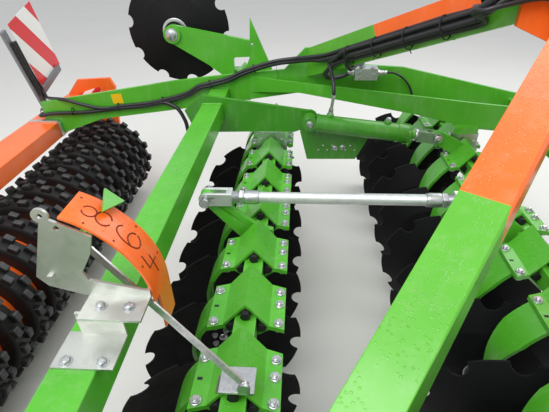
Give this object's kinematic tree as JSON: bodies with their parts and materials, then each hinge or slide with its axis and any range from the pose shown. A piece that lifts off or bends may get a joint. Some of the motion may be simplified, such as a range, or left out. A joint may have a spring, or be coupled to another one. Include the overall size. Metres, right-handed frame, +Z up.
{
  "type": "compact_disc_harrow",
  "caption": "Mounted compact disc harrow with two swivelling rows of notched discs, hydraulic depth setting, a folded edge disc and a rubber ring roller",
  "frame": {"origin": "centre of the footprint on the ground", "axes": "+X driving direction, +Y left, +Z up"},
  "size_m": [3.093, 3.1922, 1.62],
  "materials": {
    "green_paint": "gloss paint, wet",
    "dark_green_paint": "gloss paint",
    "orange_paint": "gloss paint",
    "grey_paint": "satin paint",
    "board_sheet": "white sheet with red diagonals",
    "zinc": "zinc plated",
    "chrome": "polished",
    "disc_steel": "black paint on hardened steel",
    "rubber": "matt",
    "tyre_rubber": "moulded"
  },
  "bodies": {
    "frame": {"side_members": "green_paint", "inner_plates": "green_paint", "cylinder_plates": "dark_green_paint", "cross_tubes": "green_paint", "struts": "orange_paint", "mast": "orange_paint", "roller_carrier": "orange_paint", "bearing_shells": "zinc", "depth_scale": "orange_paint", "scale_bracket": "zinc", "board_arms": "grey_paint", "warning_boards": "board_sheet", "valve_block": "zinc", "edge_bracket": "green_paint", "hitch_pins": "zinc", "lower_hitch": "green_paint", "carrier_straps": "zinc", "hoses": "rubber"},
    "front_row": {"front_beam": "green_paint", "front_clamps": "green_paint", "front_cords": "rubber", "front_bolts": "zinc"},
    "rear_row": {"rear_beam": "green_paint", "rear_clamps": "green_paint", "rear_cords": "rubber", "rear_bolts": "zinc"},
    "link": {"link_rod": "zinc"},
    "cyl_left": {"barrel_left": "green_paint"},
    "piston_left": {"rod_left": "chrome"},
    "roller": {"roller_drum": "orange_paint", "roller_rings": "tyre_rubber"},
    "pointer": {"depth_pointer": "green_paint"},
    "pointer_bar": {"pointer_link": "zinc"},
    "edge": {"edge_arm": "green_paint"},
    "edge_wheel": {"edge_disc": "disc_steel"},
    "front_wheel_1": {"front_disc_1": "disc_steel"},
    "front_wheel_2": {"front_disc_2": "disc_steel"},
    "front_wheel_3": {"front_disc_3": "disc_steel"},
    "front_wheel_4": {"front_disc_4": "disc_steel"},
    "front_wheel_5": {"front_disc_5": "disc_steel"},
    "front_wheel_6": {"front_disc_6": "disc_steel"},
    "front_wheel_7": {"front_disc_7": "disc_steel"},
    "front_wheel_8": {"front_disc_8": "disc_steel"},
    "front_wheel_9": {"front_disc_9": "disc_steel"},
    "front_wheel_10": {"front_disc_10": "disc_steel"},
    "front_wheel_11": {"front_disc_11": "disc_steel"},
    "front_wheel_12": {"front_disc_12": "disc_steel"},
    "rear_wheel_1": {"rear_disc_1": "disc_steel"},
    "rear_wheel_2": {"rear_disc_2": "disc_steel"},
    "rear_wheel_3": {"rear_disc_3": "disc_steel"},
    "rear_wheel_4": {"rear_disc_4": "disc_steel"},
    "rear_wheel_5": {"rear_disc_5": "disc_steel"},
    "rear_wheel_6": {"rear_disc_6": "disc_steel"},
    "rear_wheel_7": {"rear_disc_7": "disc_steel"},
    "rear_wheel_8": {"rear_disc_8": "disc_steel"},
    "rear_wheel_9": {"rear_disc_9": "disc_steel"},
    "rear_wheel_10": {"rear_disc_10": "disc_steel"},
    "rear_wheel_11": {"rear_disc_11": "disc_steel"}
  },
  "joints": [
    {"name": "front_depth", "type": "hinge", "parent": "frame", "child": "front_row", "pos_m": [0.9925, 0, 0.7], "axis": [0, 1, 0], "range_deg": [0, 12]},
    {"name": "rear_depth", "type": "hinge", "parent": "frame", "child": "rear_row", "pos_m": [0.0025, 0, 0.7], "axis": [0, 1, 0], "range_deg": [0, 12]},
    {"name": "link_pivot", "type": "hinge", "parent": "front_row", "child": "link", "pos_m": [0.8025, 0, 0.86], "axis": [0, 1, 0], "range_deg": [-12, 0]},
    {"name": "barrel_left_pivot", "type": "hinge", "parent": "frame", "child": "cyl_left", "pos_m": [0.2005, 0.69, 0.87], "axis": [0, 1, 0], "range_deg": [-2.89, 0]},
    {"name": "piston_left_slide", "type": "slide", "parent": "cyl_left", "child": "piston_left", "axis": [0.9932, 0, -0.1168], "range_m": [0, 0.0195]},
    {"name": "pointer_pivot", "type": "hinge", "parent": "frame", "child": "pointer", "pos_m": [-0.3675, -0.6, 1.071], "axis": [0, 1, 0], "range_deg": [0, 16.85]},
    {"name": "pointer_bar_pivot", "type": "hinge", "parent": "rear_row", "child": "pointer_bar", "pos_m": [0.0335, -0.712, 0.799], "axis": [0, 1, 0], "range_deg": [-13.17, 0]},
    {"name": "roller_turn", "type": "hinge", "parent": "frame", "child": "roller", "pos_m": [-1.2475, 0, 0.3], "axis": [0, 1, 0], "continuous": true},
    {"name": "edge_fold", "type": "hinge", "parent": "frame", "child": "edge", "pos_m": [-0.2275, 1.31, 0.79], "axis": [-1, 0, 0], "range_deg": [0, 180]},
    {"name": "edge_turn", "type": "hinge", "parent": "edge", "child": "edge_wheel", "pos_m": [-0.5875, 1.215, 1.19], "axis": [0, 1, 0], "continuous": true},
    {"name": "front_turn_1", "type": "hinge", "parent": "front_row", "child": "front_wheel_1", "pos_m": [0.8275, -1.375, 0.305], "axis": [0.2924, 0.9563, 0], "continuous": true},
    {"name": "front_turn_2", "type": "hinge", "parent": "front_row", "child": "front_wheel_2", "pos_m": [0.8275, -1.125, 0.305], "axis": [0.2924, 0.9563, 0], "continuous": true},
    {"name": "front_turn_3", "type": "hinge", "parent": "front_row", "child": "front_wheel_3", "pos_m": [0.8275, -0.875, 0.305], "axis": [0.2924, 0.9563, 0], "continuous": true},
    {"name": "front_turn_4", "type": "hinge", "parent": "front_row", "child": "front_wheel_4", "pos_m": [0.8275, -0.625, 0.305], "axis": [0.2924, 0.9563, 0], "continuous": true},
    {"name": "front_turn_5", "type": "hinge", "parent": "front_row", "child": "front_wheel_5", "pos_m": [0.8275, -0.375, 0.305], "axis": [0.2924, 0.9563, 0], "continuous": true},
    {"name": "front_turn_6", "type": "hinge", "parent": "front_row", "child": "front_wheel_6", "pos_m": [0.8275, -0.125, 0.305], "axis": [0.2924, 0.9563, 0], "continuous": true},
    {"name": "front_turn_7", "type": "hinge", "parent": "front_row", "child": "front_wheel_7", "pos_m": [0.8275, 0.125, 0.305], "axis": [0.2924, 0.9563, 0], "continuous": true},
    {"name": "front_turn_8", "type": "hinge", "parent": "front_row", "child": "front_wheel_8", "pos_m": [0.8275, 0.375, 0.305], "axis": [0.2924, 0.9563, 0], "continuous": true},
    {"name": "front_turn_9", "type": "hinge", "parent": "front_row", "child": "front_wheel_9", "pos_m": [0.8275, 0.625, 0.305], "axis": [0.2924, 0.9563, 0], "continuous": true},
    {"name": "front_turn_10", "type": "hinge", "parent": "front_row", "child": "front_wheel_10", "pos_m": [0.8275, 0.875, 0.305], "axis": [0.2924, 0.9563, 0], "continuous": true},
    {"name": "front_turn_11", "type": "hinge", "parent": "front_row", "child": "front_wheel_11", "pos_m": [0.8275, 1.125, 0.305], "axis": [0.2924, 0.9563, 0], "continuous": true},
    {"name": "front_turn_12", "type": "hinge", "parent": "front_row", "child": "front_wheel_12", "pos_m": [0.8275, 1.375, 0.305], "axis": [0.2924, 0.9563, 0], "continuous": true},
    {"name": "rear_turn_1", "type": "hinge", "parent": "rear_row", "child": "rear_wheel_1", "pos_m": [-0.1625, -1.375, 0.305], "axis": [0.2924, -0.9563, 0], "continuous": true},
    {"name": "rear_turn_2", "type": "hinge", "parent": "rear_row", "child": "rear_wheel_2", "pos_m": [-0.1625, -1.125, 0.305], "axis": [0.2924, -0.9563, 0], "continuous": true},
    {"name": "rear_turn_3", "type": "hinge", "parent": "rear_row", "child": "rear_wheel_3", "pos_m": [-0.1625, -0.875, 0.305], "axis": [0.2924, -0.9563, 0], "continuous": true},
    {"name": "rear_turn_4", "type": "hinge", "parent": "rear_row", "child": "rear_wheel_4", "pos_m": [-0.1625, -0.625, 0.305], "axis": [0.2924, -0.9563, 0], "continuous": true},
    {"name": "rear_turn_5", "type": "hinge", "parent": "rear_row", "child": "rear_wheel_5", "pos_m": [-0.1625, -0.375, 0.305], "axis": [0.2924, -0.9563, 0], "continuous": true},
    {"name": "rear_turn_6", "type": "hinge", "parent": "rear_row", "child": "rear_wheel_6", "pos_m": [-0.1625, -0.125, 0.305], "axis": [0.2924, -0.9563, 0], "continuous": true},
    {"name": "rear_turn_7", "type": "hinge", "parent": "rear_row", "child": "rear_wheel_7", "pos_m": [-0.1625, 0.125, 0.305], "axis": [0.2924, -0.9563, 0], "continuous": true},
    {"name": "rear_turn_8", "type": "hinge", "parent": "rear_row", "child": "rear_wheel_8", "pos_m": [-0.1625, 0.375, 0.305], "axis": [0.2924, -0.9563, 0], "continuous": true},
    {"name": "rear_turn_9", "type": "hinge", "parent": "rear_row", "child": "rear_wheel_9", "pos_m": [-0.1625, 0.625, 0.305], "axis": [0.2924, -0.9563, 0], "continuous": true},
    {"name": "rear_turn_10", "type": "hinge", "parent": "rear_row", "child": "rear_wheel_10", "pos_m": [-0.1625, 0.875, 0.305], "axis": [0.2924, -0.9563, 0], "continuous": true},
    {"name": "rear_turn_11", "type": "hinge", "parent": "rear_row", "child": "rear_wheel_11", "pos_m": [-0.1625, 1.125, 0.305], "axis": [0.2924, -0.9563, 0], "continuous": true}
  ],
  "couplings": [
    {"joint": "rear_depth", "follows": "front_depth", "ratio": 1},
    {"joint": "link_pivot", "follows": "front_depth", "ratio": -1},
    {"joint": "barrel_left_pivot", "follows": "front_depth", "ratio": -0.23922},
    {"joint": "piston_left_slide", "follows": "front_depth", "m_per_rad": 0.092126},
    {"joint": "pointer_pivot", "follows": "front_depth", "ratio": 1.4033},
    {"joint": "pointer_bar_pivot", "follows": "front_depth", "ratio": -1.0969}
  ]
}
